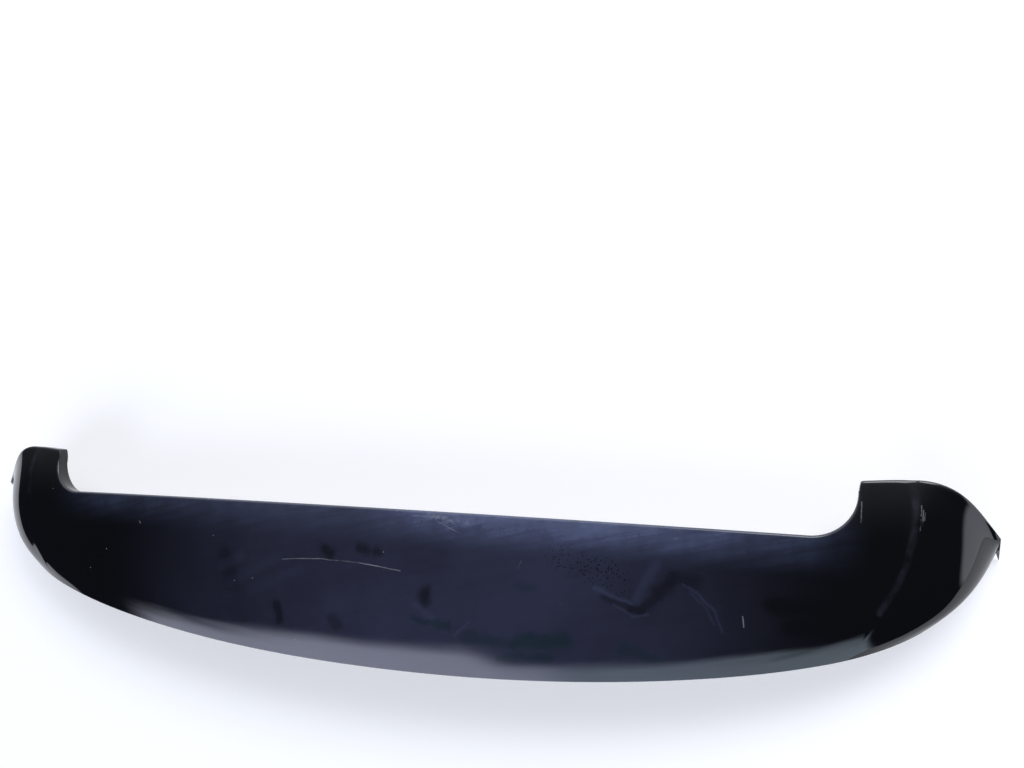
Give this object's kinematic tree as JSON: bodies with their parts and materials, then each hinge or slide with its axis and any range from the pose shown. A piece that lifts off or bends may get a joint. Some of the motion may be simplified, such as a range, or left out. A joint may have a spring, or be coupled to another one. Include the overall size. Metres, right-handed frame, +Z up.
{
  "type": "tailgate spoiler",
  "caption": "Crescent-shaped rear spoiler for a hatchback's tailgate, gloss black, with a forward arm at each end, a straight recess between them and threaded studs underneath.",
  "frame": {"origin": "centre of the stud pattern, on the plane where the studs' flanges seat on the tailgate", "axes": "+X along the wing to its right end, +Y forwards to the arms, +Z up out of the painted side"},
  "size_m": [1.1774, 0.214, 0.0788],
  "materials": {
    "gloss_paint": "gloss black paint with dust and fine scratches",
    "grained_plastic": "fine grain",
    "stud_steel": "zinc plated",
    "seal_rubber": "closed-cell foam",
    "clip_nylon": "natural nylon"
  },
  "bodies": {
    "root": {"upper_shell": "gloss_paint", "lower_shell": "grained_plastic", "mounting_studs": "stud_steel", "stud_seals": "seal_rubber", "arm_clips": "clip_nylon"}
  },
  "joints": []
}
